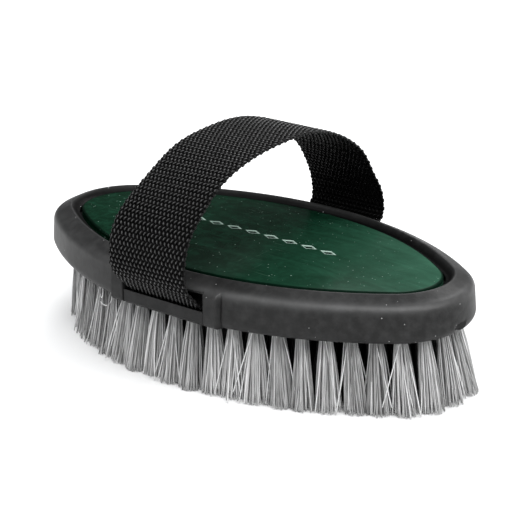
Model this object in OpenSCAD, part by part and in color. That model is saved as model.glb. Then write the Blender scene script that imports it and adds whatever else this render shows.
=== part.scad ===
// Oval grooming body brush: a drilled block with bristle tufts, a soft-grip rim, a back plate and a hand strap.
// Lengths in mm. +X runs along the brush, +Z up, and z = 0 is the plane of the bristle tips.

/* [Brush body] */
// Size step of the oval: its arc centres lie 3 steps along the brush and 4 steps across it
oval_step = 24; // [20:0.5:28]
// Radius of the rim's two rounded ends
end_r = 33.5; // [25:0.1:45]
// Height of the rim's bottom edge above the bristle tips
trim_len = 29.4; // [20:0.1:40]
// Height of the rim's crest above its bottom edge
crest_h = 18.9; // [16:0.1:24]
// Height of the rim's outer shoulder above its bottom edge
shoulder_h = 14.8; // [12:0.1:16]
// Width of the small notch in the rim's bottom edge at each end of the brush
notch_w = 6.5; // [3:0.5:12]
// How far the plate's edge lies inside the widest wall
plate_inset = 13.2; // [10:0.1:18]
// Rise of the domed back plate from its edge to its middle
dome_h = 3.5; // [0.5:0.1:6]

/* [Bristle tufts] */
// Depth of the blind tuft holes
hole_depth = 9; // [6:0.5:10]
// Radius of the blind tuft holes
hole_r = 2.3; // [1.5:0.05:3]
// Radius of a tuft at its tips
tip_r = 4.3; // [3:0.1:5]
// Outward lean of the outermost ring of tufts, in degrees
outer_lean = 8.2; // [0:0.1:12]

/* [Hand strap] */
// Width of the webbing
strap_w = 40; // [30:1:50]
// Thickness of the webbing
strap_t = 2; // [1.2:0.1:3]
// Height of the strap's crown above the rim's bottom edge
strap_h = 65; // [55:0.5:75]
// Radius of the strap's crown, on its outer face
crown_r = 82; // [60:1:110]
// Radius of the strap's upper shoulders, on the outer face
shoulder_r = 27.5; // [20:0.5:35]
// Half of the widest span across the strap, on the outer face
bulge_y = 65.3; // [60:0.1:75]
// Radius that turns the strap from its 45 degree exit up to vertical
foot_r = 13.3; // [8:0.1:20]

/* [Hidden] */
$fn = 96;
lap = 0.05; // degrees that neighbouring arcs share, so that they join into one solid
arc_step = 9; // most degrees between the points of a rounded corner
seam = 0.05; // gap between moulded faces that meet
far = 200; // longer than any cut needs

// The oval is four tangent arcs: two of end_r at the ends and two of side_r along the sides.
// Their centres are the corners of 3-4-5 triangles, so the arcs meet along the direction [0.6, 0.8].
end_c = 3 * oval_step;
side_c = 4 * oval_step;
side_r = 5 * oval_step + end_r;
join = [0.6, 0.8];
half_l = end_c + end_r;
half_w = side_r - side_c;

// Levels, from the bristle tips up
rim_z = trim_len;
block_z = rim_z + 0.4;
step_z = rim_z + 11;
block_top = rim_z + 13.2;
plate_z = block_top + seam;
plate_edge_z = rim_z + 16.4;
dome_top = plate_edge_z + dome_h;

// Insets from the widest wall
block_inset = 6.3;
tuft_inset = 9.5;

// The plate's dome is part of a torus: a small arc across the brush and a large one along it.
dome_ry = pow(half_w - plate_inset, 2) / (2 * dome_h);
dome_rx = pow(half_l - plate_inset, 2) / (2 * dome_h);

// Tufts in each ring, from the outermost ring in
ring_counts = [48, 40, 34, 28, 22];
ring_step = 10;
lean_step = 2;
fold = 0.8; // bristle that loops over the anchor
anchor_t = 0.5;
anchor_w = 2 * hole_r + 0.3;
anchor_h = 1.8;

// Strap pockets and clamps; y values are distances from the long axis
post_end = 28.4;
post_y = 56.5;
pocket_half = 21.8;
pocket_y = 51.5;
tab_y = pocket_y + strap_t;
clamp_half = 21.4;
clamp_y = 55.95;
clamp_h = 6.2;
peg_x = 14.5;
peg_r = 1.2;
peg_l = 7;
peg_z = rim_z + 2.4;
plate_peg = [60, 22, 2.8]; // x, y and length
plate_peg_r = 2.5;

// Strap outline on the +Y side, by its outer face, with heights above the rim's bottom edge
crown_c = strap_h - crown_r;
bulge_c = bulge_y - shoulder_r;
crown_a = acos(bulge_c / (crown_r - shoulder_r));
bulge_h = crown_c + (crown_r - shoulder_r) * sin(crown_a);
foot_c = bulge_y - foot_r;
exit_line = foot_c - bulge_h + foot_r * sqrt(2); // on the 45 degree run, height is y - exit_line
bend_r = 1;
bend_h = tab_y - exit_line + bend_r * (1 - sqrt(2));

// Hinge lines of the strap, halfway through the webbing
hinge_r = strap_t / 2;
socket_r = hinge_r + 0.1;
free_r = hinge_r + 0.8;
knuckle_a = 28;
knuckle = [bulge_c, bulge_h] + (shoulder_r - hinge_r) * [cos(knuckle_a), sin(knuckle_a)];
foot = [55.3, 55.3 - exit_line + hinge_r * sqrt(2)];

rubber = [0.16, 0.16, 0.16];
plastic = [0.06, 0.06, 0.06];
green = [0.05, 0.2, 0.12];
webbing = [0.04, 0.04, 0.04];
bristle = [0.62, 0.63, 0.63];
steel = [0.7, 0.7, 0.72];

// ---- ovals ----

module oval(inset) {
    join_x = end_c + (end_r - inset) * join.x;
    intersection() {
        translate([0, -side_c]) circle(side_r - inset, $fn = 720);
        translate([0, side_c]) circle(side_r - inset, $fn = 720);
        square([2 * join_x, 2 * half_w], center = true);
    }
    for (side = [-1, 1])
        translate([side * end_c, 0]) circle(end_r - inset, $fn = 240);
}

module oval_slab(inset, z, top) {
    translate([0, 0, z]) linear_extrude(top - z) oval(inset);
}

// Sweeps a section round the oval. Its x = 0 is the widest wall, and negative x is inward.
module sweep_round_oval() {
    reach = 50;
    height = 60;
    for (turn = [0, 180])
        rotate(turn) {
            intersection() {
                translate([end_c, 0]) rotate_extrude($fn = 240) translate([end_r, 0]) children();
                translate([0, 0, -1]) linear_extrude(height) translate([end_c, 0])
                    polygon([[0, 0], reach * [join.x, -join.y], [2 * reach, -reach], [2 * reach, reach],
                        reach * join]);
            }
            intersection() {
                translate([0, -side_c]) rotate_extrude($fn = 720) translate([side_r, 0]) children();
                translate([0, 0, -1]) linear_extrude(height) translate([0, -side_c])
                    polygon([[0, 0], far * join, [0, far], far * [-join.x, join.y]]);
            }
        }
}

// Where an oval of half length a, half width b and end radius r passes after the fraction s of its
// length, as [x, y, direction of its outward normal].
function oval_point(a, b, r, s) =
    let (side = (pow(a - r, 2) + b * b - r * r) / (2 * (b - r)),
        turn = atan2(side - b, a - r),
        end_len = r * turn,
        quarter_len = end_len + side * (90 - turn),
        quarter = floor(4 * s),
        part = 4 * s - quarter,
        run = (quarter % 2 == 0 ? part : 1 - part) * quarter_len,
        dir = run <= end_len ? run / r : turn + (run - end_len) / side,
        x = run <= end_len ? a - r + r * cos(dir) : side * cos(dir),
        y = run <= end_len ? r * sin(dir) : b - side + side * sin(dir))
    [[x, y, dir], [-x, y, 180 - dir], [-x, -y, 180 + dir], [x, -y, -dir]][quarter];

// ---- outlines with rounded corners ----

function unit(v) = v / norm(v);
function half_corner(p, q, s) = acos(unit(p - q) * unit(s - q)) / 2;
function corner_cut(p, q, s, r) = r / tan(half_corner(p, q, s));
function corner_centre(p, q, s, r) = q + unit(unit(p - q) + unit(s - q)) * r / sin(half_corner(p, q, s));

// Points along an arc, from one direction to another.
function arc(c, r, from, to) =
    let (steps = ceil(abs(to - from) / arc_step * max(1, sqrt(r / 4))))
    [for (i = [0:steps]) c + r * [cos(from + (to - from) * i / steps), sin(from + (to - from) * i / steps)]];

// The arc that rounds corner q, between its neighbours p and s.
function rounded_corner(p, q, s, r) =
    let (c = corner_centre(p, q, s, r),
        first = q + unit(p - q) * corner_cut(p, q, s, r) - c,
        last = q + unit(s - q) * corner_cut(p, q, s, r) - c,
        from = atan2(first.y, first.x),
        turn = atan2(last.y, last.x) - from)
    arc(c, r, from, from + (turn > 180 ? turn - 360 : turn < -180 ? turn + 360 : turn));

// A convex outline whose corners have the given radii.
module rounded_outline(points, radii) {
    n = len(points);
    polygon([for (i = [0:n - 1])
        let (p = points[(i + n - 1) % n], q = points[i], s = points[(i + 1) % n])
        each radii[i] > 0 ? rounded_corner(p, q, s, radii[i]) : [q]]);
}

// Draws a (y, z) outline as a bar along X.
module along_x(width) {
    rotate([90, 0, 90]) linear_extrude(width, center = true) children();
}

// Draws a +Y part on either side of the long axis.
module on_side(side) {
    mirror([0, side < 0 ? 1 : 0, 0]) children();
}

// ---- rim ----

module rim_section() {
    cove_r = 3.1;
    land_h = plate_edge_z - rim_z - 0.5; // the plate's edge stands a little above the rim's inner land
    step_h = step_z - rim_z + seam;
    difference() {
        rounded_outline(
            [[seam - block_inset, 0], [0.1, 0], [-0.9, shoulder_h], [-8.7, crest_h + 0.2], [-10, crest_h],
                [-plate_inset + 0.6, crest_h - 1.5], [-plate_inset + 0.6, land_h], [seam - plate_inset, land_h],
                [seam - plate_inset, step_h], [seam - block_inset, step_h]],
            [0, 4, 1.8, 1, 0, 0, 0, 0, 0, 0]);
        translate([0.6 - plate_inset, crest_h]) circle(cove_r, $fn = 48);
    }
}

// The posts beside each strap pocket stand flat and a little proud of the curved wall.
module post_outline() {
    polygon([[52, 0.2], [post_y - 1.5, 0.2], [post_y, 1.8], [post_y - 0.3, shoulder_h - 1.6],
        [post_y - 1.8, shoulder_h], [52, shoulder_h + 0.4]]);
}

module pocket_outline() {
    step_h = step_z - rim_z + seam;
    polygon([[40, -1], [70, -1], [70, shoulder_h - 0.4], [pocket_y, shoulder_h - 0.4],
        [pocket_y, step_h], [40, step_h]]);
}

module rubber_rim() {
    post_w = post_end - pocket_half + 1;
    color(rubber) translate([0, 0, rim_z]) difference() {
        union() {
            sweep_round_oval() rim_section();
            for (x = [-1, 1], side = [-1, 1])
                translate([x * (post_end - post_w / 2), 0, 0]) on_side(side) along_x(post_w) post_outline();
        }
        for (side = [-1, 1])
            on_side(side) along_x(2 * pocket_half) pocket_outline();
        for (x = [-1, 1])
            translate([x * half_l, 0, 1.5]) cube([5.6, notch_w, 5], center = true);
    }
}

// ---- block and plate ----

module at_plate_pegs() {
    for (x = [-1, 1], y = [-1, 1])
        translate([x * plate_peg.x, y * plate_peg.y, plate_z]) rotate([180, 0, 0]) children();
}

module at_clamp_pegs(side) {
    for (x = [-1, 1])
        translate([x * peg_x, side * tab_y, peg_z]) rotate([side * 90, 0, 0]) children();
}

module core_block() {
    seat = 2 * (pocket_half - seam);
    color(plastic) difference() {
        union() {
            oval_slab(block_inset, block_z, step_z);
            oval_slab(plate_inset, step_z, block_top);
            translate([-seat / 2, -pocket_y, block_z]) cube([seat, 2 * pocket_y, step_z - block_z]);
        }
        for (ring = [1:len(ring_counts)])
            at_tufts(ring) translate([0, 0, -hole_depth]) cylinder(h = hole_depth + 2, r = hole_r);
        for (side = [-1, 1])
            at_clamp_pegs(side) cylinder(h = peg_l + 0.3, r = peg_r + seam);
        at_plate_pegs() cylinder(h = plate_peg.z + 0.2, r = plate_peg_r + seam);
    }
}

// A solid of revolution about the long direction, with its height taken from the plate's rise along X.
module dome() {
    reach = 96;
    depth = 20;
    spread = 24;
    translate([0, 0, dome_top - dome_ry]) rotate([0, 90, 0]) rotate(180 - spread / 2)
        rotate_extrude(angle = spread, $fn = 720)
        polygon([[dome_ry - depth, reach], [dome_ry - depth, -reach],
            for (x = [-reach:12:reach]) [dome_ry - x * x / (2 * dome_rx), x]]);
}

// A plain row of lozenges, sunk into the plate along the middle of the brush.
module plate_lozenges() {
    pitch = 10;
    sunk = 0.5;
    for (i = [-4:4])
        translate([i * pitch, 0, dome_top - pow(i * pitch, 2) / (2 * dome_rx) - sunk])
            linear_extrude(5) polygon([[-3.6, 0], [0, -1.8], [3.6, 0], [0, 1.8]]);
}

module back_plate() {
    color(green) {
        difference() {
            intersection() {
                oval_slab(plate_inset + seam, plate_z, dome_top + 1);
                dome();
            }
            plate_lozenges();
        }
        at_plate_pegs() translate([0, 0, -1]) cylinder(h = plate_peg.z + 1, r = plate_peg_r);
    }
}

// ---- strap clamps ----

module clamp_outline() {
    slack = 0.6;
    polygon([[tab_y, 0.4], [clamp_y - 1.2, 0.1], [clamp_y, 1.4], [clamp_y, clamp_h],
        [exit_line + slack + clamp_h, clamp_h], [tab_y, tab_y - exit_line - slack]]);
}

module strap_clamp(side) {
    color(rubber) {
        on_side(side) translate([0, 0, rim_z]) along_x(2 * clamp_half) clamp_outline();
        at_clamp_pegs(side) translate([0, 0, -1]) cylinder(h = peg_l + 1, r = peg_r);
    }
}

// ---- strap ----

// A length of webbing bent round centre, by the radius of its outer face.
module bent_web(centre, outer_r, from, to) {
    translate(centre) intersection() {
        difference() {
            circle(outer_r, $fn = 360);
            circle(outer_r - strap_t, $fn = 360);
        }
        polygon([[0, 0], for (a = [from - lap, (from + to) / 2, to + lap]) far * [cos(a), sin(a)]]);
    }
}

// A flat length of webbing from p to q, which lie on its middle line.
module straight_web(p, q) {
    across = [p.y - q.y, q.x - p.x] * hinge_r / norm(q - p);
    polygon([p - across, q - across, q + across, p + across]);
}

module leg_outline() {
    mid_r = foot_r - hinge_r;
    translate(foot) circle(hinge_r);
    translate(knuckle) circle(hinge_r);
    straight_web(foot, [foot_c, bulge_h] + mid_r * [cos(-45), sin(-45)]);
    bent_web([foot_c, bulge_h], foot_r, -45, 0);
    bent_web([bulge_c, bulge_h], shoulder_r, 0, knuckle_a);
}

// The crown's face on one side of the webbing: in is 0 on the outer face and strap_t on the inner one.
function crown_face(in) =
    let (far_side = arc([bulge_c, bulge_h], shoulder_r - in, knuckle_a, crown_a),
        top = arc([0, crown_c], crown_r - in, crown_a, 180 - crown_a),
        near_side = arc([-bulge_c, bulge_h], shoulder_r - in, 180 - crown_a, 180 - knuckle_a))
    concat(far_side, [for (i = [1:len(top) - 2]) top[i]], near_side);

module crown_outline() {
    inner = crown_face(strap_t);
    difference() {
        polygon(concat(crown_face(0), [for (i = [len(inner) - 1:-1:0]) inner[i]]));
        for (side = [-1, 1])
            translate([side * knuckle.x, knuckle.y]) circle(socket_r);
    }
}

module end_outline(gap_r) {
    bend_c = [tab_y + bend_r, bend_h];
    difference() {
        union() {
            translate([pocket_y, 0.8]) square([strap_t, bend_h - 0.8]);
            translate(bend_c) intersection() {
                difference() {
                    circle(bend_r + strap_t);
                    circle(bend_r);
                }
                polygon([[0, 0], for (a = [135 - lap, 160, 180 + lap]) far * [cos(a), sin(a)]]);
            }
            straight_web(bend_c + (bend_r + hinge_r) * [cos(135), sin(135)], foot);
        }
        translate(foot) circle(gap_r);
    }
}

module strap_leg(side) {
    color(webbing) on_side(side) translate([0, 0, rim_z]) along_x(strap_w) leg_outline();
}

module strap_crown() {
    color(webbing) translate([0, 0, rim_z]) along_x(strap_w) crown_outline();
}

module strap_end(side, gap_r) {
    color(webbing) difference() {
        on_side(side) translate([0, 0, rim_z]) along_x(strap_w) end_outline(gap_r);
        at_clamp_pegs(side) translate([0, 0, -1]) cylinder(h = peg_l, r = peg_r + seam);
    }
}

// ---- tufts and their anchors ----

function ring_lean(ring) = outer_lean - (ring - 1) * lean_step;

// Puts children at the mouth of each tuft hole of a ring, with +Z along the tuft towards its tips.
module at_tufts(ring) {
    inset = tuft_inset + (ring - 1) * ring_step;
    b = half_w - inset;
    r = max(end_r - inset, 0.42 * b);
    count = ring_counts[ring - 1];
    for (i = [0:count - 1]) {
        place = oval_point(half_l - inset, b, r, i / count);
        translate([place.x, place.y, block_z]) rotate(place.z) rotate([0, 180 - ring_lean(ring), 0]) children();
    }
}

module anchor(slack) {
    translate([-anchor_t / 2 - slack, -anchor_w / 2 - slack, fold + seam - hole_depth - slack])
        cube([anchor_t + 2 * slack, anchor_w + 2 * slack, anchor_h + 2 * slack]);
}

module tuft(length) {
    root_r = hole_r - seam;
    difference() {
        union() {
            translate([0, 0, seam - hole_depth]) cylinder(h = hole_depth, r = root_r);
            cylinder(h = length, r1 = root_r, r2 = tip_r);
        }
        anchor(0.01);
    }
}

module tufts_ring(ring) {
    length = block_z / cos(ring_lean(ring)) + 1.5;
    color(bristle) intersection() {
        at_tufts(ring) tuft(length);
        translate([-far / 2 - 20, -far / 2, 0]) cube([far + 40, far, 60]);
    }
}

module anchors_ring(ring) {
    color(steel) at_tufts(ring) anchor(0);
}

module strap_clamp_near() strap_clamp(-1);
module strap_clamp_far() strap_clamp(1);
module strap_end_near() strap_end(-1, socket_r);
module strap_end_far() strap_end(1, free_r);
module strap_leg_near() strap_leg(-1);
module strap_leg_far() strap_leg(1);
module tufts_ring_1() tufts_ring(1);
module tufts_ring_2() tufts_ring(2);
module tufts_ring_3() tufts_ring(3);
module tufts_ring_4() tufts_ring(4);
module tufts_ring_5() tufts_ring(5);
module anchors_ring_1() anchors_ring(1);
module anchors_ring_2() anchors_ring(2);
module anchors_ring_3() anchors_ring(3);
module anchors_ring_4() anchors_ring(4);
module anchors_ring_5() anchors_ring(5);

core_block();
rubber_rim();
back_plate();
strap_clamp_near();
strap_clamp_far();
strap_end_near();
strap_leg_near();
strap_crown();
strap_leg_far();
strap_end_far();
tufts_ring_1();
tufts_ring_2();
tufts_ring_3();
tufts_ring_4();
tufts_ring_5();
anchors_ring_1();
anchors_ring_2();
anchors_ring_3();
anchors_ring_4();
anchors_ring_5();
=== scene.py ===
"""Oval body brush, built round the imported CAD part.

Tufts of separate filaments, a soft rubber rim, a domed plate and a woven hand strap. Points are in
millimetres until make() turns them into metres. Materials, lights and the camera are in metres.
"""
import math

import bmesh
import bpy
import numpy as np
from mathutils import Matrix, Vector


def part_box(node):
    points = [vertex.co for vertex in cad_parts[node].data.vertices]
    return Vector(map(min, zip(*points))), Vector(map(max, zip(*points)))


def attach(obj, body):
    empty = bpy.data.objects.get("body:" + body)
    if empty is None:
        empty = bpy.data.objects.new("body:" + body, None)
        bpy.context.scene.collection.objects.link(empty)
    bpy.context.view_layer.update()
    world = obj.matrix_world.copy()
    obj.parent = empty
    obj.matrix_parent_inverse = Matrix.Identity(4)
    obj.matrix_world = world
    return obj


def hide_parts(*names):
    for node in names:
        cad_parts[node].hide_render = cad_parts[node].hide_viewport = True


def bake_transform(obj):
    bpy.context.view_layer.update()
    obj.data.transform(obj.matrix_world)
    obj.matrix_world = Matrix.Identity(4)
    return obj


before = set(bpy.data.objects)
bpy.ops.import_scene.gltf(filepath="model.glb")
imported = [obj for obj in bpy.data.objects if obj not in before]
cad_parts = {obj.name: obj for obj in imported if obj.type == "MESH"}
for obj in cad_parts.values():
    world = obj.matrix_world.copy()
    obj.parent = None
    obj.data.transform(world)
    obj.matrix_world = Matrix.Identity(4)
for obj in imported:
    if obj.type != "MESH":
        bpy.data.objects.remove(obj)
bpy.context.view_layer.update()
MM = 0.001
rng = np.random.default_rng(41)

# ---------------------------------------------------------------- design sizes, in mm, as in the CAD part
RIM_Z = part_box("rubber_rim")[0].z / MM
# the oval's end arcs about (+-END_C, 0) meet its side arcs about (0, +-SIDE_C) at the angle END_TURN
END_C, END_R, SIDE_C = 72.0, 33.5, 96.0
CENTRES_APART = math.hypot(END_C, SIDE_C)
SIDE_R = CENTRES_APART + END_R
HALF_L, HALF_W = END_C + END_R, SIDE_R - SIDE_C
END_COS = END_C / CENTRES_APART
END_TURN = math.acos(END_COS)
# the plate's edge is let in from the rim's widest line, and its dome rises DOME_RISE from edge to crown
PLATE_IN, PLATE_HOLE = 13.25, 13.2
PLATE_Z, DOME_TOP, DOME_RISE = RIM_Z + 13.25, RIM_Z + 19.9, 2.8
DOME_RY = (HALF_W - PLATE_HOLE) ** 2 / (2 * DOME_RISE)
DOME_RX = (HALF_L - PLATE_HOLE) ** 2 / (2 * DOME_RISE)
BLOCK_Z = RIM_Z + 0.4
# the pocket in each long side of the rim, and the post beyond each of its ends
POCKET_END, POST_END = 21.8, 28.4
POCKET_BACK, POCKET_TOP, RIM_SEAT = 51.5, 14.4, 11.05


# ---------------------------------------------------------------- mesh helpers
def smoothstep(x, a, b):
    """0 at a and before, 1 at b and beyond, with a smooth rise between."""
    t = np.clip((np.asarray(x, float) - a) / (b - a), 0, 1)
    return t * t * (3 - 2 * t)


def bumps(m, table):
    """The sum of smooth bumps, each given as height, place and width."""
    return sum(height * np.exp(-((m - place) / width) ** 2) for height, place, width in table)


def add_object(name, data):
    o = bpy.data.objects.new(name, data)
    bpy.context.scene.collection.objects.link(o)
    return o


def make(name, co, faces, flat_over=None, uv=None, attrs=None):
    """A mesh object from points in mm and arrays of faces with the same number of corners each."""
    me = bpy.data.meshes.new(name)
    co = np.asarray(co, float)
    me.vertices.add(len(co))
    me.vertices.foreach_set("co", (co * MM).astype(np.float32).ravel())
    faces = [np.asarray(f, np.int32) for f in faces if len(f)]
    loops = np.concatenate([f.ravel() for f in faces])
    totals = np.concatenate([np.full(len(f), f.shape[1], np.int32) for f in faces])
    starts = np.concatenate([[0], np.cumsum(totals)[:-1]]).astype(np.int32)
    me.loops.add(len(loops))
    me.loops.foreach_set("vertex_index", loops)
    me.polygons.add(len(totals))
    me.polygons.foreach_set("loop_start", starts)
    me.update(calc_edges=True)
    if uv is not None:
        layer = me.uv_layers.new(name="run")
        layer.data.foreach_set("uv", np.asarray(uv, np.float32)[loops].ravel())
    for key, values in (attrs or {}).items():
        a = me.attributes.new(key, "FLOAT", "POINT")
        a.data.foreach_set("value", np.asarray(values, np.float32))
    me.polygons.foreach_set("use_smooth", np.ones(len(totals), bool))
    if flat_over is not None:
        sharpen(me, flat_over)
    return add_object(name, me)


def sharpen(mesh, degrees):
    """Marks edges that bend more than this as sharp."""
    bm = bmesh.new()
    bm.from_mesh(mesh)
    limit = math.radians(degrees)
    for e in bm.edges:
        e.smooth = len(e.link_faces) == 2 and e.calc_face_angle(0) < limit
    bm.to_mesh(mesh)
    bm.free()


def tubes(centre, u, v, ru, rv, sides):
    """Closed tubes: centre, u and v are (tubes, rings, 3), and u x v points along each tube."""
    n, rings = centre.shape[:2]
    a = np.arange(sides) * 2 * np.pi / sides
    ca, sa = np.cos(a)[None, None, :, None], np.sin(a)[None, None, :, None]
    ru = np.broadcast_to(ru, (n, rings))[:, :, None, None]
    rv = np.broadcast_to(rv, (n, rings))[:, :, None, None]
    co = centre[:, :, None] + u[:, :, None] * ca * ru + v[:, :, None] * sa * rv
    base = (np.arange(n) * rings * sides)[:, None, None]
    r = (np.arange(rings - 1) * sides)[None, :, None]
    k = np.arange(sides)[None, None, :]
    k2 = (k + 1) % sides
    quads = np.stack([base + r + k, base + r + k2, base + r + sides + k2, base + r + sides + k], -1)
    first = base[:, 0] + np.arange(sides)[::-1][None]
    last = base[:, 0] + (rings - 1) * sides + np.arange(sides)[None]
    return co.reshape(-1, 3), quads.reshape(-1, 4), np.concatenate([first, last])


def grid_quads(idx):
    """Quads between neighbouring rows and columns of a grid of point numbers."""
    return np.stack([idx[:-1, :-1], idx[:-1, 1:], idx[1:, 1:], idx[1:, :-1]], -1).reshape(-1, 4)


# ---------------------------------------------------------------- materials
class Nodes:
    """A small wrapper for building node materials."""

    def __init__(self, name):
        self.mat = bpy.data.materials.new(name)
        self.mat.use_nodes = True
        self.tree = self.mat.node_tree
        self.tree.nodes.clear()
        self.out = self.tree.nodes.new("ShaderNodeOutputMaterial")
        self.bsdf = self.tree.nodes.new("ShaderNodeBsdfPrincipled")
        self.link(self.bsdf.outputs[0], self.out.inputs["Surface"])

    def link(self, a, b):
        self.tree.links.new(a, b)

    def node(self, kind, **inputs):
        n = self.tree.nodes.new("ShaderNode" + kind)
        for key, value in inputs.items():
            self.put(n.inputs[key.replace("_", " ")], value)
        return n

    def put(self, socket, value):
        if isinstance(value, bpy.types.NodeSocket):
            self.link(value, socket)
        else:
            socket.default_value = value

    def coords(self, scale=(1, 1, 1), rotation=(0, 0, 0), source="Object"):
        mapping = self.node("Mapping", Scale=scale, Rotation=rotation)
        self.link(self.node("TexCoord").outputs[source], mapping.inputs["Vector"])
        return mapping.outputs[0]

    def noise(self, vector, scale, detail=3.0, rough=0.5, distortion=0.0):
        n = self.node("TexNoise", Vector=vector, Scale=scale, Detail=detail, Roughness=rough,
                      Distortion=distortion)
        return n.outputs["Fac"]

    def ramp(self, value, low, high, to_low=0.0, to_high=1.0):
        """value as it goes from low to high, turned into to_low to to_high and held beyond them."""
        n = self.node("MapRange", Value=value, From_Min=low, From_Max=high, To_Min=to_low, To_Max=to_high)
        return n.outputs["Result"]

    def math(self, op, a, b=0.0):
        n = self.node("Math")
        n.operation = op
        self.put(n.inputs[0], a)
        self.put(n.inputs[1], b)
        return n.outputs[0]

    def times(self, a, b):
        return self.math("MULTIPLY", a, b)

    def mix(self, factor, a, b):
        n = self.node("Mix")
        n.data_type = "RGBA"
        for socket, value in ((0, factor), (6, a), (7, b)):
            self.put(n.inputs[socket], value)
        return n.outputs[2]

    def specks(self, vector, scale, size, keep):
        """Sparse round specks: 1 inside, 0 outside. keep is the share of cells that hold one."""
        n = self.node("TexVoronoi", Vector=vector, Scale=scale)
        near = self.ramp(n.outputs["Distance"], size, size * 0.6)
        draw = self.node("SeparateColor", Color=n.outputs["Color"]).outputs[0]
        return self.times(near, self.math("LESS_THAN", draw, keep))

    def bump(self, height, distance, strength=1.0, normal=None):
        n = self.node("Bump", Height=height, Distance=distance, Strength=strength)
        if normal is not None:
            self.link(normal, n.inputs["Normal"])
        return n.outputs[0]

    def attribute(self, name):
        n = self.node("Attribute")
        n.attribute_name = name
        return n.outputs["Fac"]

    def surface(self, **inputs):
        for key, value in inputs.items():
            self.put(self.bsdf.inputs[key.replace("_", " ")], value)
        return self.mat


def grey(v):
    return (v, v, v, 1.0)


def rubber_material(name, base, dust):
    """Matte soft-touch rubber: cloudy bloom, fine grain, a painted highlight on the shoulder, painted shade
    in the groove and pale dust.
    """
    m = Nodes(name)
    c = m.coords()
    cloud = m.noise(c, 26.0, 4.0, 0.6)
    grain = m.noise(c, 1500.0, 2.0, 0.6)
    mottle = m.noise(c, 240.0, 3.0, 0.6)
    # noise that breaks up the painted highlight on the shoulder
    highlight_breakup = m.ramp(m.noise(c, 90.0, 4.0, 0.7), 0.25, 0.75, 0.35, 1.0)
    share = 0.05 * dust
    specks = m.math("MAXIMUM", m.specks(c, 170.0, 0.06, share), m.specks(c, 420.0, 0.09, share))
    groove, edge = m.attribute("groove"), m.attribute("edge")
    tone = m.mix(m.ramp(cloud, 0.3, 0.7), grey(base * 0.72), grey(base * 1.3))
    tone = m.mix(m.ramp(mottle, 0.4, 0.72, 0.0, 0.75), tone, grey(base * 2.2))
    # painted highlight: the shoulder is painted paler
    tone = m.mix(m.times(edge, highlight_breakup), tone, grey(base * 5.4))
    # painted shade: the groove beside the plate is painted near black
    tone = m.mix(groove, tone, grey(0.002))
    tone = m.mix(m.times(specks, 0.85), tone, grey(0.7))
    rough = m.ramp(cloud, 0.25, 0.75, 0.38, 0.5)
    shine = m.math("ADD", 0.15, m.math("SUBTRACT", m.times(edge, 0.25), m.times(groove, 0.12)))
    normal = m.bump(grain, 0.00006, 0.5)
    normal = m.bump(mottle, 0.00014, 0.45, normal)
    normal = m.bump(m.noise(c, 70.0, 2.0), 0.0005, 0.3, normal)
    return m.surface(Base_Color=tone, Roughness=rough, Specular_IOR_Level=shine, Normal=normal)


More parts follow.
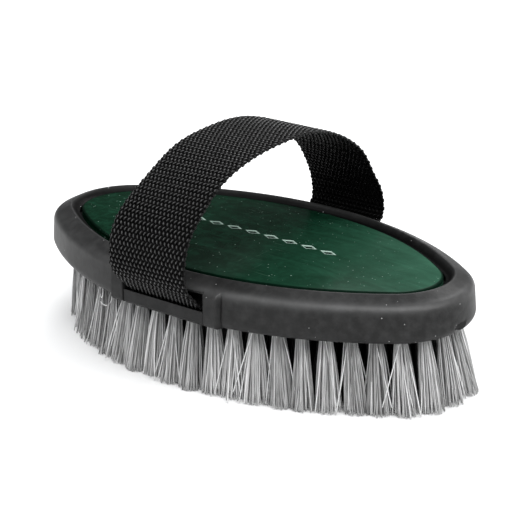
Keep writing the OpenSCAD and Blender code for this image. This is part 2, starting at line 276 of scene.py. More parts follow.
def plate_material():
    """Glossy dark green moulding with hairline scratches, cloudy wiping marks and dust, and painted light: a
    paler painted sheen towards +X and the far side, painted highlights on the lozenges' lips and painted
    shade in the recesses.
    """
    deep, green = (0.0008, 0.0112, 0.0045, 1), (0.0016, 0.0185, 0.0084, 1)
    # the third of these is the paler green of the painted light
    wiped, mottled, painted_sheen_colour = (0.012, 0.07, 0.038, 1), (0.010, 0.06, 0.033, 1), (0.038, 0.118, 0.075, 1)
    hairline, dust = (0.12, 0.24, 0.17, 1), (0.36, 0.52, 0.44, 1)
    # painted shade, and the pale green of the painted highlight on the lozenges' lips
    shade, highlight_paint = (0.0006, 0.005, 0.0025, 1), (0.66, 0.86, 0.76, 1)
    m = Nodes("green_gloss")
    c = m.coords()
    cloud = m.noise(c, 22.0, 4.0, 0.6, 0.4)
    mottle = m.noise(c, 260.0, 4.0, 0.65)
    streak = m.noise(m.coords((24, 110, 40), (0, 0, 0.35)), 1.0, 5.0, 0.62, 1.1)
    fine = m.noise(m.coords((60, 1900, 60), (0, 0, -0.5)), 1.0, 2.0, 0.5)
    cross = m.noise(m.coords((1700, 50, 60), (0, 0, 0.25)), 1.0, 2.0, 0.5)
    scratch = m.math("MAXIMUM", m.ramp(fine, 0.68, 0.76), m.ramp(cross, 0.7, 0.77))
    scratch = m.times(scratch, m.ramp(m.noise(c, 45.0, 2.0), 0.5, 0.62))
    specks = m.math("MAXIMUM", m.specks(c, 260.0, 0.085, 0.24), m.specks(c, 560.0, 0.13, 0.26))
    # painted light: the plate is painted paler towards +X, where more light falls, and towards the far side
    # as a painted reflection of the bright surroundings
    place = m.node("SeparateXYZ", Vector=c)
    painted_sheen = m.times(m.ramp(place.outputs["X"], 0.0, 0.095), m.ramp(streak, 0.32, 0.68, 0.8, 1.25))
    painted_sheen = m.times(painted_sheen, m.times(m.ramp(place.outputs["Y"], -0.02, 0.025, 0.62, 1.45),
                                 m.ramp(cloud, 0.2, 0.8, 0.6, 1.0)))
    tone = m.mix(m.ramp(cloud, 0.3, 0.7), deep, green)
    tone = m.mix(m.ramp(streak, 0.5, 0.78, 0.0, 0.42), tone, wiped)
    tone = m.mix(m.ramp(mottle, 0.45, 0.75, 0.0, 0.4), tone, mottled)
    tone = m.mix(m.times(scratch, 0.5), tone, hairline)
    tone = m.mix(m.times(specks, 0.75), tone, dust)
    # painted light towards +X and the far side
    tone = m.mix(m.times(painted_sheen, 0.7), tone, painted_sheen_colour)
    # painted shade inside the sunk lozenges and along the plate's edge seam
    tone = m.mix(m.times(m.attribute("recess"), 0.85), tone, shade)
    # painted highlight on the lozenges' lips
    tone = m.mix(m.times(m.attribute("painted_glint"), 0.95), tone, highlight_paint)
    rough = m.math("ADD", m.ramp(cloud, 0.3, 0.7, 0.2, 0.3), m.times(scratch, 0.2))
    normal = m.bump(m.noise(c, 180.0, 2.0), 0.00003, 0.5)
    normal = m.bump(scratch, 0.00002, 0.4, normal)
    return m.surface(Base_Color=tone, Roughness=rough, Specular_IOR_Level=0.015, Normal=normal)


def webbing_material():
    """Black multifilament yarn: fibres along the run, soft sheen and painted highlights on the yarn crowns.
    """
    m = Nodes("black_webbing")
    fibre = m.noise(m.coords((0.5, 9.0, 1.0), source="UV"), 1.6, 2.0, 0.6, 0.3)
    blotch = m.noise(m.coords(source="UV"), 0.35, 2.0)
    crown = m.attribute("crown")
    # painted highlight: the crowns are painted paler, broken up by blotches
    painted_glint = m.times(m.math("POWER", crown, 6.0), m.ramp(blotch, 0.2, 0.8, 0.35, 1.0))
    tone = m.mix(m.ramp(fibre, 0.3, 0.7), grey(0.0009), grey(0.003))
    tone = m.mix(painted_glint, tone, grey(0.17))
    shine = m.ramp(crown, 0.3, 0.95, 0.04, 0.46)
    return m.surface(Base_Color=tone, Roughness=0.3, Specular_IOR_Level=shine,
                     Normal=m.bump(fibre, 0.00018, 0.7))


def bristle_material(name, low, high, rough):
    """Synthetic filament: each one has its own shade, and painted shade makes it darker at the root, under
    the body.
    """
    m = Nodes(name)
    patch = m.noise(m.coords((1, 1, 0.12)), 700.0, 2.0)
    value = m.math("ADD", m.attribute("shade"), m.ramp(patch, 0.3, 0.7, -0.12, 0.12))
    tone = m.mix(m.ramp(value, 0.0, 1.0), grey(low), grey(high))
    # painted shade near the root, where the tufts stand under the body
    tone = m.mix(m.ramp(m.attribute("along"), 0.0, 0.35, 0.35, 0.0), tone, grey(0.02))
    return m.surface(Base_Color=tone, Roughness=rough, Specular_IOR_Level=0.5,
                     Normal=m.bump(patch, 0.00004, 0.5))


def block_material():
    """Moulded black plastic with a fine pebbled surface and faint flow marks."""
    m = Nodes("black_plastic")
    grain = m.noise(m.coords(), 900.0, 3.0, 0.6)
    flow = m.noise(m.coords((20, 90, 40)), 1.0, 3.0)
    tone = m.mix(m.ramp(flow, 0.3, 0.7), grey(0.014), grey(0.03))
    return m.surface(Base_Color=tone, Roughness=m.ramp(grain, 0.3, 0.7, 0.45, 0.6),
                     Normal=m.bump(grain, 0.00008, 0.5))


def steel_material():
    """Bright drawn flat wire."""
    m = Nodes("anchor_wire")
    lines = m.noise(m.coords((60, 60, 1500)), 1.0, 2.0)
    tone = m.mix(lines, grey(0.45), grey(0.65))
    return m.surface(Base_Color=tone, Metallic=1.0, Roughness=m.ramp(lines, 0.3, 0.7, 0.25, 0.4),
                     Normal=m.bump(lines, 0.00002, 0.4))


def floor_material():
    """Plain pale paper with a fine tooth."""
    m = Nodes("pale_floor")
    c = m.coords()
    return m.surface(Base_Color=m.mix(m.noise(c, 3.0), grey(0.94), grey(0.97)), Roughness=0.9,
                     Normal=m.bump(m.noise(c, 900.0, 2.0), 0.00005, 0.3), Specular_IOR_Level=0.1)


RUBBER = rubber_material("soft_rubber", 0.0158, 3.4)
CLAMP = rubber_material("clamp_plastic", 0.012, 0.8)
GREEN = plate_material()
WEB = webbing_material()
PALE = bristle_material("pale_filament", 0.2, 0.8, 0.4)
DARK = bristle_material("black_filament", 0.006, 0.022, 0.38)
BLOCK = block_material()
STEEL = steel_material()


def finish_piece(o, material, body, node):
    """Gives a new piece its material and its body, and hides the CAD node that it stands for."""
    o.data.materials.append(material)
    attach(o, body)
    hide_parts(node)


# ---------------------------------------------------------------- camera, first, and light
CAMERA_LENS, CAMERA_SHIFT, CAMERA_DISTANCE = 130.6, (0.0217, 0.0218), 0.808


def toward(azimuth, elevation):
    """The direction from the object to a place at these angles in degrees, where azimuth 0 is -Y."""
    a, e = math.radians(azimuth), math.radians(elevation)
    return Vector((math.sin(a) * math.cos(e), -math.cos(a) * math.cos(e), math.sin(e)))


def turn_to(o, rotation):
    o.rotation_mode = "QUATERNION"
    o.rotation_quaternion = rotation


def look_from(azimuth, elevation, roll):
    """The camera, aimed at the middle of the rim's foot."""
    back = toward(azimuth, elevation)
    a, r = math.radians(azimuth), math.radians(roll)
    level = Vector((math.cos(a), math.sin(a), 0))
    right = level * math.cos(r) - back.cross(level) * math.sin(r)
    data = bpy.data.cameras.new("camera")
    data.sensor_width = 36.0
    data.lens = CAMERA_LENS
    data.shift_x, data.shift_y = CAMERA_SHIFT
    data.clip_start, data.clip_end = 0.05, 20.0
    cam = add_object("camera", data)
    cam.location = Vector((0, 0, RIM_Z * MM)) + back * CAMERA_DISTANCE
    turn_to(cam, Matrix((right, back.cross(right), back)).transposed().to_quaternion())
    bpy.context.scene.camera = cam


def area_light(name, location, size, power):
    """A soft box of size (width, height), aimed at the middle of the object."""
    data = bpy.data.lights.new(name, "AREA")
    data.shape = "RECTANGLE"
    data.size, data.size_y = size
    data.energy = power
    o = add_object(name, data)
    o.location = location
    turn_to(o, (Vector(location) - Vector((0, 0, 0.04))).to_track_quat("Z", "Y"))


def soft_sun(azimuth, elevation, strength, spread):
    data = bpy.data.lights.new("key", "SUN")
    data.energy = strength
    data.angle = math.radians(spread)
    turn_to(add_object("key", data), toward(azimuth, elevation).to_track_quat("Z", "Y"))


def studio_world():
    """Cool white surroundings, dim near the horizon and below it, brighter overhead."""
    world = bpy.data.worlds.new("studio")
    bpy.context.scene.world = world
    world.use_nodes = True
    nodes, links = world.node_tree.nodes, world.node_tree.links
    sky = nodes.new("ShaderNodeTexCoord")
    split = nodes.new("ShaderNodeSeparateXYZ")
    fade = nodes.new("ShaderNodeMapRange")
    fade.interpolation_type = "SMOOTHSTEP"
    fade.inputs["From Min"].default_value, fade.inputs["From Max"].default_value = 0.25, 0.8
    fade.inputs["To Min"].default_value, fade.inputs["To Max"].default_value = 0.14, 0.5
    links.new(sky.outputs["Generated"], split.inputs[0])
    links.new(split.outputs["Z"], fade.inputs["Value"])
    links.new(fade.outputs["Result"], nodes["Background"].inputs["Strength"])
    nodes["Background"].inputs["Color"].default_value = (0.96, 0.98, 1.0, 1)


def pale_floor(half=20000, lines=13):
    """A wide floor just under the tips, as a grid of quads."""
    g = np.linspace(-half, half, lines)
    gx, gy = np.meshgrid(g, g)
    idx = np.arange(lines * lines).reshape(lines, lines)
    o = make("floor", np.stack([gx, gy, 0 * gx - 0.05], -1).reshape(-1, 3), [grid_quads(idx)])
    o.data.materials.append(floor_material())


look_from(40.7, 20.33, 1.0)
soft_sun(52, 60, 2.1, 48)
area_light("front_fill", (-0.9, -1.2, 0.55), (0.9, 0.7), 2.2)
area_light("right_fill", (1.35, 0.1, 0.75), (0.6, 0.6), 6.0)
area_light("back_top", (-0.25, 1.0, 1.05), (1.3, 0.5), 13.0)
area_light("left_top", (-0.75, -0.55, 1.1), (0.4, 0.4), 3.0)
studio_world()
bpy.context.scene.view_settings.view_transform = "Standard"
pale_floor()


# ---------------------------------------------------------------- rubber rim
def arc(c, r, a0, a1, n):
    """n points about c from angle a0 to a1, in degrees."""
    a = np.radians(np.linspace(a0, a1, n))
    return [(c[0] + r * math.cos(t), c[1] + r * math.sin(t)) for t in a]


def rounded(p, q, s, r, n):
    """Points along the arc of radius r that rounds corner q between p and s."""
    p, q, s = (np.array(v, float) for v in (p, q, s))
    u, v = (p - q) / np.linalg.norm(p - q), (s - q) / np.linalg.norm(s - q)
    half = math.acos(float(u @ v)) / 2
    c = q + (u + v) / np.linalg.norm(u + v) * r / math.sin(half)
    first, last = q + u * r / math.tan(half) - c, q + v * r / math.tan(half) - c
    a0 = math.degrees(math.atan2(first[1], first[0]))
    a1 = math.degrees(math.atan2(last[1], last[0]))
    a1 += 360 if a1 - a0 < -180 else -360 if a1 - a0 > 180 else 0
    return arc(c, r, a0, a1, n)


def between(p, q, n):
    """n points strictly between p and q."""
    p, q = np.array(p), np.array(q)
    return [tuple(p + (q - p) * (i + 1) / (n + 1)) for i in range(n)]


WALL_IN = -6.25


def rim_profile():
    """The rim's section as (w, h): w is 0 at the widest wall and negative inward, h is up from the foot.

    The point numbers that come with it are the foot's inner corner, the end of the bottom's rounding and
    the point of the shoulder where the pocket's ceiling meets the outer face.
    """
    foot_in, foot = (WALL_IN, 0), (0.1, 0)
    shoulder, crest, valley = (-0.9, 15.0), (-8.6, 18.75), (-10.5, 16.9)
    bottom = rounded(foot_in, foot, shoulder, 4.0, 12)
    top = rounded(foot, shoulder, crest, 4.2, 14)
    ridge = rounded(shoulder, crest, valley, 1.0, 8)
    inner = [(WALL_IN, h) for h in (11.0, 8.4, 5.6, 2.8)]
    pts = inner + [foot_in] + between(foot_in, bottom[0], 1) + bottom
    foot_at, round_at = len(inner), len(pts) - 1
    pts += between(bottom[-1], top[0], 9)
    lip_at = len(pts) + 2
    pts += top + between(top[-1], ridge[0], 8) + ridge
    # down the cove beside the plate, under the plate's edge and back to the inner wall
    pts += arc((-12.6, 18.6), 3.0, -24, -90, 9)[:-1]
    pts += [(-12.3, 15.55), (-12.4, 15.2), (-12.4, 13.5)]
    pts += [(-PLATE_HOLE, 13.2), (-PLATE_HOLE, RIM_SEAT), (-9.8, RIM_SEAT)]
    return np.array(pts), foot_at, round_at, lip_at


profile, foot_at, round_at, lip_at = rim_profile()
rim_w, rim_h = profile.T
# how far from the long axis the outer face of a post stands, as (height, distance)
POST_FACE = ((0.0, 52.4), (0.25, 54.9), (0.7, 55.8), (1.3, 56.3), (1.9, 56.5), (12.6, 56.25), (13.4, 56.05),
             (14.1, 55.5), (14.7, 54.6), (15.1, 53.0))
# where the sections lie, closer together at the post's end, and then how far each is drawn into the pocket
NEAR_POST = (30.8, 30.2, 29.8, 29.5, 29.3, 29.1, 28.95, 28.8, 28.7, 28.6, 28.5, 28.4, 28.3, 28.2, 28.1,
             28.0, 27.4, 26.0, 24.4, 23.2, 22.6)
POCKET_CORNER = ((22.3, 0.0), (22.15, 0.004), (22.02, 0.012), (21.92, 0.026), (21.85, 0.045),
                 (21.81, 0.065), (POCKET_END, 0.08))
MIRROR, HALF_TURN = np.array([-1, 1, 1]), np.array([-1, -1, 1])


def post_face(y, x0):
    """The section's y with the post standing out of its lower part near the pocket."""
    out = smoothstep(rim_w, -4.6, -3.2) * smoothstep(rim_h, 16.2, 15.0)
    raised = 1 - smoothstep(x0, POST_END - 0.35, POST_END + 0.3)
    lifted = np.maximum(y, np.interp(rim_h, *zip(*POST_FACE)))
    lifted = np.where((rim_h < 15.1) & (rim_w > -4.2), lifted, y)
    return y + (lifted - y) * raised * np.clip(out * 1.6, 0, 1)


def pocket_section(y, x0):
    """The section's y and height where the pocket has cut away everything below its ceiling."""
    inner_y = math.sqrt((SIDE_R + WALL_IN) ** 2 - x0 ** 2) - SIDE_C
    i = np.arange(lip_at + 1)
    knots = [0, foot_at, round_at, lip_at]
    cut_y, cut_h = y.copy(), rim_h.copy()
    cut_y[i] = np.interp(i, knots, [inner_y, POCKET_BACK, POCKET_BACK, y[lip_at]])
    cut_h[i] = np.interp(i, knots, [RIM_SEAT, RIM_SEAT, POCKET_TOP, POCKET_TOP])
    return cut_y, cut_h


def side_section(x0, pocket=0.0):
    """The section at x0 on the +Y side. pocket, up to 1, draws it towards the pocket's outline."""
    fan = smoothstep(x0, 30, 46)
    x = x0 + fan * rim_w * x0 / SIDE_R
    y = np.sqrt((SIDE_R + rim_w) ** 2 - x ** 2) - SIDE_C
    if pocket < 1:
        y = post_face(y, x0)
    # a soft crease where the post meets the wall
    crease = 0.9 * np.exp(-((x0 - POST_END - 0.75) / 0.42) ** 2)
    y = y - crease * smoothstep(rim_w, -3.5, -1.5) * smoothstep(rim_h, 14.9, 12.5)
    cut_y, cut_h = pocket_section(y, x0)
    return np.stack([x, y + (cut_y - y) * pocket, rim_h + (cut_h - rim_h) * pocket], -1)


def side_row():
    """Sections along the +Y side from +X to -X."""
    turn = np.linspace(math.asin(END_COS), math.asin(31.5 / SIDE_R), 46)
    half = [side_section(x) for x in list(SIDE_R * np.sin(turn)) + list(NEAR_POST)]
    half += [side_section(x, pocket) for x, pocket in POCKET_CORNER]
    half += [side_section(x, 1.0) for x in [POCKET_END] + list(np.linspace(21.0, 1.0, 15))]
    return half + [s * MIRROR for s in reversed(half)]


def end_row():
    """Sections round the +X end, with a small moulding notch in the bottom edge on the long axis."""
    row = []
    for a in np.linspace(END_TURN, -END_TURN, 76)[1:-1]:
        deep = 1 - smoothstep(abs(a) * (END_R - 1), 2.5, 3.3)
        deep = deep * smoothstep(rim_w, -5.2, -3.0) * smoothstep(rim_h, 4.6, 3.9)
        r = END_R + rim_w - 2.6 * deep
        row.append(np.stack([END_C + r * math.cos(a), r * math.sin(a), rim_h], -1))
    return row


def rim_mesh():
    """The rim's points, its quads, and how far each point lies in the groove with its painted shade and on
    the shoulder with its painted highlight.
    """
    side = side_row()
    end = [s * MIRROR for s in end_row()]
    # +Y side from +X to -X, the -X end, the -Y side and the +X end
    sections = side + end + [s * HALF_TURN for s in side] + [s * HALF_TURN for s in end]
    co = np.concatenate(sections)
    co[:, 2] += RIM_Z
    m, n = len(sections), len(profile)
    i, j = np.arange(m)[:, None] * n, np.arange(n)[None]
    i2, j2 = np.roll(i, -1, 0), (j + 1) % n
    quads = np.stack([i + j, i2 + j, i2 + j2, i + j2], -1).reshape(-1, 4)
    # painted shade: how far each point lies in the groove beside the plate, which the material paints near
    # black
    groove = smoothstep(-rim_w, 8.2, 11.2) * (rim_h > 12)
    # painted highlight: how near each point lies to the shoulder, which the material paints paler
    edge = np.exp(-(((rim_w + 2.0) / 2.2) ** 2 + ((rim_h - 14.6) / 1.6) ** 2))
    # the painted highlight on the shoulder fades towards -X, where less light falls
    highlight_paint = 0.2 + 0.8 * smoothstep(co[:, 0], -70, 10)
    return co, quads, {"groove": np.tile(groove, m), "edge": np.tile(edge, m) * highlight_paint}


co, quads, marks = rim_mesh()
rim = make("rubber_rim_skin", co, [quads], flat_over=40, attrs=marks)
finish_piece(rim, RUBBER, "brush", "rubber_rim")


# ---------------------------------------------------------------- domed plate
PLATE_SIDE_R, PLATE_END_R = SIDE_R - PLATE_IN, END_R - PLATE_IN
PLATE_JOIN_X = END_C + END_COS * PLATE_END_R
# the row of sunk lozenges along the middle: their pitch, the row's half-length, their half-sizes and depth
MARK_PITCH, MARK_REACH, MARK_HALF_X, MARK_HALF_Y, MARK_DEPTH = 10.0, 45.0, 3.6, 1.8, 0.45
# the half-sizes of the finely cut patch round each lozenge, and the radius of the plate's edge
FINE_X, FINE_Y, EDGE_ROUND = 4.2, 2.2, 0.9


def plate_grid():
    """x and y of the plate's points, in rows across it that are closer together at its ends and edges."""
    middle = list(np.arange(-115, 116) * 0.4)
    outer = list(np.linspace(47.2, PLATE_JOIN_X, 30))
    outer += [END_C + PLATE_END_R * math.cos(t) for t in np.linspace(END_TURN, 0.02, 40)[1:]]
    xs = np.array(sorted([-x for x in outer] + middle + outer))
    ax = np.abs(xs)
    w = np.where(ax < PLATE_JOIN_X, np.sqrt(PLATE_SIDE_R ** 2 - ax ** 2) - SIDE_C,
                 np.sqrt(np.maximum(PLATE_END_R ** 2 - (ax - END_C) ** 2, 0)))[:, None]
    core = np.arange(-12, 13) * 0.2
    from_edge = np.array([2.6, 1.8, 1.3, 1.0, 0.8, 0.62, 0.46, 0.32, 0.2, 0.1, 0.03, 0.0])
    # the narrow rows at the ends have the same points, drawn together
    draw_core, draw_edge = np.minimum(1, w / 9), np.minimum(1, w / 7)
    lo, hi = core[-1] * draw_core, w - from_edge[0] * draw_edge
    mid = lo + (hi - lo) * (np.arange(1, 15) / 15)[None]
    half = np.concatenate([mid, w - from_edge[None] * draw_edge], 1)
    y = np.concatenate([-half[:, ::-1], core[None] * draw_core, half], 1)
    return np.broadcast_to(xs[:, None], y.shape), y


def edge_distance(x, y):
    """How far inside the plate's outline each point is."""
    ax, ay = np.abs(x), np.abs(y)
    in_end = (ax > END_C) & (np.arctan2(ay, np.maximum(ax - END_C, 1e-9)) < END_TURN)
    d = np.where(in_end, PLATE_END_R - np.hypot(ax - END_C, ay), PLATE_SIDE_R - np.hypot(ax, ay + SIDE_C))
    return np.maximum(d, 0)


def plate_top():
    """The dome's points as a grid, each point's place along its lozenge, and the marks for the painted
    highlight on the lozenges' lips and the painted shade in the recesses.
    """
    x, y = plate_grid()
    d = edge_distance(x, y)
    z = DOME_TOP - DOME_RY + np.sqrt((DOME_RY - x ** 2 / (2 * DOME_RX)) ** 2 - y ** 2)
    over = np.clip(EDGE_ROUND - d, 0, EDGE_ROUND)
    z = z - (EDGE_ROUND - np.sqrt(EDGE_ROUND * EDGE_ROUND - over * over))
    dx = np.where(np.abs(x) <= MARK_REACH, (x + MARK_REACH) % MARK_PITCH - MARK_PITCH / 2, MARK_PITCH)
    inside = 1 - (np.abs(dx) / MARK_HALF_X + np.abs(y) / MARK_HALF_Y)
    z = z - MARK_DEPTH * np.clip(inside * 3.5, 0, 1)
    # a faint raised lip round each lozenge, painted pale as a highlight
    z = z + 0.07 * np.exp(-((inside + 0.04) / 0.09) ** 2)
    painted_glint = np.exp(-((inside - 0.02) / 0.12) ** 2)
    # painted shade inside each sunk lozenge and along the plate's edge, where it meets the rim
    recess = np.maximum(smoothstep(inside, 0.14, 0.3), smoothstep(-d, -1.2, -0.55))
    return np.stack([x, y, z], -1), dx, painted_glint, recess


def plate_top_faces(idx, dx, y):
    """Quads over the dome. Round a lozenge they are split in two, along the way that its sides run."""
    corners = a, b, c, d = idx[:-1, :-1], idx[1:, :-1], idx[1:, 1:], idx[:-1, 1:]
    cx, cy = (dx[:-1, :-1] + dx[1:, 1:]) / 2, (y[:-1, :-1] + y[1:, 1:]) / 2
    fine = (np.abs(cx) < FINE_X) & (np.abs(cy) < FINE_Y)
    flip = fine & (cx * cy > 0)
    straight = fine & ~flip
    faces = [np.stack([k[~fine] for k in corners], -1)]
    for where, splits in ((flip, ((a, b, d), (b, c, d))), (straight, ((a, b, c), (a, c, d)))):
        faces += [np.stack([k[where] for k in tri], -1) for tri in splits]
    return faces


def plate_underside(edge):
    """Loops of points below the plate's edge: down its side to the seat, then in towards the middle."""
    loops = []
    for drop in (0.35, 0.5, 1.0):
        loop = edge.copy()
        loop[:, 2] += (PLATE_Z - edge[:, 2]) * drop
        loops.append(loop)
    inner = loops[-1] * np.array([0.5, 0.5, 1])
    return loops + [inner]


def plate_mesh():
    grid, dx, painted_glint, recess = plate_top()
    top = grid.reshape(-1, 3)
    idx = np.arange(len(top)).reshape(grid.shape[:2])
    loop = np.concatenate([idx[0, :], idx[1:, -1], idx[-1, -2::-1], idx[-2:0:-1, 0]])
    below = plate_underside(top[loop])
    m = len(loop)
    rings = [loop] + [len(top) + k * m + np.arange(m) for k in range(len(below))]
    walls = [np.stack([p, np.roll(p, -1), np.roll(q, -1), q], -1)[:, ::-1]
             for p, q in zip(rings, rings[1:])]
    hub = np.full(m, len(top) + len(below) * m)
    fan = np.stack([rings[-1], np.roll(rings[-1], -1), hub], -1)[:, ::-1]
    co = np.concatenate([top] + below + [[[0, 0, PLATE_Z]]])
    rest = np.zeros(len(co) - len(top))
    marks = {"painted_glint": np.concatenate([painted_glint.ravel(), rest]), "recess": np.concatenate([recess.ravel(), rest])}
    return co, plate_top_faces(idx, dx, grid[..., 1]) + walls + [fan], marks


def close_seams(mesh):
    """Merges points that fall together in the short rows at the plate's ends and turns faces outward."""
    bm = bmesh.new()
    bm.from_mesh(mesh)
    bmesh.ops.remove_doubles(bm, verts=bm.verts, dist=1e-6)
    bmesh.ops.dissolve_degenerate(bm, edges=bm.edges, dist=1e-7)
    bmesh.ops.recalc_face_normals(bm, faces=bm.faces)
    bm.to_mesh(mesh)
    bm.free()


co, faces, marks = plate_mesh()
plate = make("green_plate", co, faces, flat_over=32, attrs=marks)
close_seams(plate.data)
finish_piece(plate, GREEN, "brush", "back_plate")


# ---------------------------------------------------------------- hand strap of woven webbing
WARPS, PICK, STRAP_W = 38, 1.9, 40.0
WARP_PITCH, WARP_STEP, YARN_SIDES, MOST_PICKS = 38.9 / WARPS, 0.38, 8, 400
FOOT, KNEE = (-55.3, 8.166), (-61.198, 34.702)
# where the photograph's strap leaves an even curve, and where it twists, as (height, place from its middle,
# width of the bump)
LOPSIDED = ((-1.1, -6, 17), (0.5, 32, 15), (-2.4, 69, 11), (2.2, 92, 6), (0.5, -68, 9))
TWIST = ((1.2, -42, 13), (-0.5, -74, 13), (-0.9, 66, 10))


def near_half():
    """The middle line as (y, height) from the near pocket, round the bend at its clamp, to the crown."""
    pts = [(-52.5, h) for h in [1.0] + list(np.arange(1.4, 4.5, 0.3))]
    pts += arc((-54.5, 4.5377), 2.0, 0, 45, 10) + [FOOT]
    pts += arc((-52, 22.2608), 12.3, 225, 180, 40)
    pts += arc((-37.8, 22.2608), 26.5, 180, 133.914, 60)[1:]
    pts += arc((0, -17), 81.0, 133.914, 90, 90)[1:]
    return np.array(pts)


def distances(p):
    """How far along a line of points each one is."""
    return np.concatenate([[0], np.cumsum(np.linalg.norm(np.diff(p, axis=0), axis=1))])


class Run:
    """The strap's middle line across the brush, from the near pocket over the hand to the far pocket.

    p is (y, height above the rim's foot), s the distance along the line and t its direction.
    """

    def __init__(self):
        near = near_half()
        even = np.concatenate([near, near[::-1][1:] * np.array([-1, 1])])
        t = np.gradient(even, axis=0)
        t /= np.linalg.norm(t, axis=1)[:, None]
        m = distances(even)
        m -= m[-1] / 2
        # the ends, which are under the clamps, stay where they are
        off = bumps(m, LOPSIDED) * smoothstep(100.4 - np.abs(m), 0, 7)
        self.p = even + np.stack([-t[:, 1], t[:, 0]], -1) * off[:, None]
        self.s = distances(self.p)
        self.length = self.s[-1]
        t = np.gradient(self.p, self.s, axis=0)
        self.t = t / np.linalg.norm(t, axis=1)[:, None]

    def at(self, s):
        """Point, tangent and outward normal at s, each (.., 3), with x = 0."""
        y, z = (np.interp(s, self.s, self.p[:, k]) for k in (0, 1))
        ty, tz = (np.interp(s, self.s, self.t[:, k]) for k in (0, 1))
        k = np.hypot(ty, tz)
        ty, tz = ty / k, tz / k
        o = np.zeros_like(y)
        return np.stack([o, y, z + RIM_Z], -1), np.stack([o, ty, tz], -1), np.stack([o, -tz, ty], -1)

    def where(self, y, h):
        """The distance along the line that is nearest to this place."""
        return self.s[np.argmin(np.hypot(self.p[:, 0] - y, self.p[:, 1] - h))]


run = Run()
picks = np.arange(0.5 * PICK, run.length, PICK)
wander = rng.normal(0, 0.05, (WARPS, MOST_PICKS))
lift = rng.normal(0, 0.03, (WARPS, MOST_PICKS))


def twisted(co, s):
    """Webbing points moved along the strap's normal where it twists, more towards its edges."""
    turn = bumps(s - run.length / 2, TWIST)
    return co + run.at(s)[2] * (turn * co[:, 0] / (STRAP_W / 2))[:, None]


def warp_yarns(s):
    """The yarns along the strap: their points, quads, caps, UVs and how far up its crown each point is."""
    c, t, nrm = run.at(s)
    number = np.arange(WARPS)[:, None]
    x = (number - (WARPS - 1) / 2) * WARP_PITCH
    phase = np.pi * (s[None] / PICK + number)
    wave = np.sin(phase)
    pick = np.clip((s / PICK).astype(int), 0, MOST_PICKS - 1)
    shift = 0.5 * (wander[:, pick] + wander[:, np.clip(pick + 1, 0, MOST_PICKS - 1)])
    # the outermost warps lie flatter and straighter, which keeps the selvage even
    inner = smoothstep(19.2 - np.abs(x), 0, 2.2)
    rise = 0.3 + 0.26 * inner
    # neighbouring warps sway opposite ways, which gives the weave its chevrons, but not under the clamps
    sway = inner * np.where(number % 2, 0.33, -0.33) * smoothstep(np.abs(s - run.length / 2), 101, 97)[None]
    centre = c[None] + nrm[None] * (wave * (rise + lift[:, pick]))[..., None]
    centre[..., 0] += x + sway * np.cos(phase) + shift * 0.6 * inner
    along = t[None] + nrm[None] * (np.cos(phase) * rise * np.pi / PICK)[..., None]
    along /= np.linalg.norm(along, axis=-1)[..., None]
    u = np.broadcast_to(np.array([1.0, 0, 0]), along.shape)
    # a yarn is wider and thicker where it crosses over a pick
    crest = np.abs(wave)
    wide, thick = 0.42 + 0.09 * crest, 0.33 + 0.05 * crest
    co, quads, caps = tubes(centre, u, np.cross(along, u), wide, thick, YARN_SIDES)
    ring = np.broadcast_to(s[None, :, None], (WARPS, len(s), YARN_SIDES))
    # each yarn has its own part of the UV plane, so that no two have the same fibres
    about = np.arange(YARN_SIDES) / YARN_SIDES + number[..., None] * 3.7
    uv = np.stack([ring, np.broadcast_to(about, ring.shape)], -1).reshape(-1, 2)
    up = -np.sin(np.arange(YARN_SIDES) * 2 * np.pi / YARN_SIDES)
    # crowns facing out of the loop count fully, those facing into it half; the material puts its painted
    # highlight and its sheen on them
    outward = np.where(wave > 0, 1.0, -0.5)[..., None] * up
    crown = crest[..., None] * np.clip(outward, 0, 1)
    return twisted(co, ring.reshape(-1)), quads, caps, uv, crown.reshape(-1)


def weft_picks(s):
    """The flat yarns across the strap at distances s, round its outer warps, in the form of warp_yarns."""
    c, t, nrm = run.at(s)
    turn_back = np.array([19.6, 19.8, 19.9, 19.97, 20.0])
    x = np.concatenate([-turn_back[::-1], np.linspace(-19.4, 19.4, 115), turn_back])
    ax = np.abs(x)
    over = np.sin(np.pi * (s[:, None] / PICK) + np.pi * ((x[None] + 19.5 - WARP_PITCH / 2) / WARP_PITCH))
    centre = c[:, None] + nrm[:, None] * (-0.2 * over)[..., None]
    centre[..., 0] = x[None] + rng.normal(0, 0.03, (len(s), 1)) * (ax > 19.3)
    u = np.broadcast_to(t[:, None], centre.shape)
    v = -np.broadcast_to(nrm[:, None], centre.shape)
    taper = np.sqrt(np.clip(1 - np.clip((ax - 19.6) / 0.405, 0, 1) ** 2, 0.02, 1))
    swell = 1 + 0.5 * smoothstep(ax, 18.6, 19.4)
    co, quads, caps = tubes(centre, u, v, 0.97 * (0.45 + 0.55 * taper), 0.36 * taper * swell, YARN_SIDES)
    shape = (len(s), len(x), YARN_SIDES)
    uv = np.stack([np.broadcast_to(x[:, None], shape),
                   np.broadcast_to(np.arange(YARN_SIDES) / YARN_SIDES + 0.37, shape)], -1).reshape(-1, 2)
    # the picks get some of the painted crown highlight where they turn round the selvage
    crown = np.broadcast_to((0.55 * smoothstep(ax, 19.3, 19.9))[:, None], shape)
    co = twisted(co, np.broadcast_to(s[:, None, None], shape).reshape(-1))
    return co, quads, caps, uv, crown.reshape(-1)


